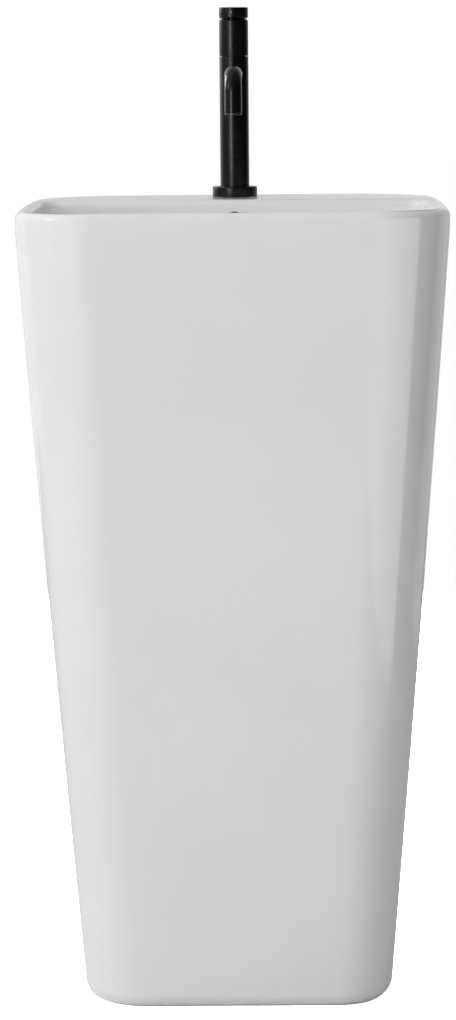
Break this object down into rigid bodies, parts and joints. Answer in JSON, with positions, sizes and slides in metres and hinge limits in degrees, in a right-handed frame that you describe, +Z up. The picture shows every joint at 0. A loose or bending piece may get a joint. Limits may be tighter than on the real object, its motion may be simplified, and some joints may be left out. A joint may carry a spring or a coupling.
{
  "type": "pedestal sink",
  "caption": "One-piece tapered ceramic pedestal sink with a rectangular bowl, rear deck, black single-hole mixer tap, pop-up waste and bottle trap.",
  "frame": {"origin": "on the floor under the middle of the sink's rim, which is the bottom centre of its bounding box", "axes": "+Z up, +Y towards the wall behind the sink, +X to the user's right as they face the sink"},
  "size_m": [0.456, 0.43, 1.0604],
  "materials": {
    "white_glaze": "gloss",
    "black_metal": "satin",
    "brass": "machined",
    "steel": "satin",
    "rubber": "matte",
    "white_plastic": "satin",
    "grey_metal": "satin"
  },
  "bodies": {
    "sink": {"ceramic_body": "white_glaze", "overflow_ring": "black_metal", "tap_base_gasket": "rubber", "tap_flange": "black_metal", "tap_body": "black_metal", "tap_spout": "black_metal", "aerator_housing": "grey_metal", "aerator_insert": "white_plastic", "tap_sleeve": "black_metal", "cartridge_body": "white_plastic", "cartridge_nut": "brass", "tap_shank": "brass", "deck_rubber_washer": "rubber", "deck_steel_washer": "steel", "tap_nut": "brass", "hot_inlet_tail": "steel", "cold_inlet_tail": "steel", "waste_top_seal": "rubber", "waste_body": "black_metal", "waste_bottom_seal": "rubber", "waste_back_nut": "brass", "tailpiece": "steel", "trap_body": "white_plastic", "trap_cup": "white_plastic", "trap_cup_seal": "rubber", "trap_inlet_nut": "white_plastic", "trap_outlet_nut": "white_plastic", "trap_outlet_pipe": "white_plastic", "outlet_rosette": "steel", "wall_stud_left": "steel", "wall_washer_left": "steel", "wall_nut_left": "steel", "wall_stud_right": "steel", "wall_washer_right": "steel", "wall_nut_right": "steel"},
    "knob": {"cartridge_stem": "brass", "tap_knob": "black_metal", "knob_set_screw": "steel", "knob_indicator": "grey_metal"},
    "plug": {"plug_cap": "black_metal", "plug_seal": "rubber", "plug_stem": "brass"}
  },
  "joints": [
    {"name": "knob_turn", "type": "hinge", "parent": "sink", "child": "knob", "pos_m": [0, 0.16, 1.05], "axis": [0, 0, 1], "range_deg": [0, 100]},
    {"name": "plug_lift", "type": "slide", "parent": "sink", "child": "plug", "axis": [0, 0, 1], "range_m": [0, 0.009]}
  ]
}
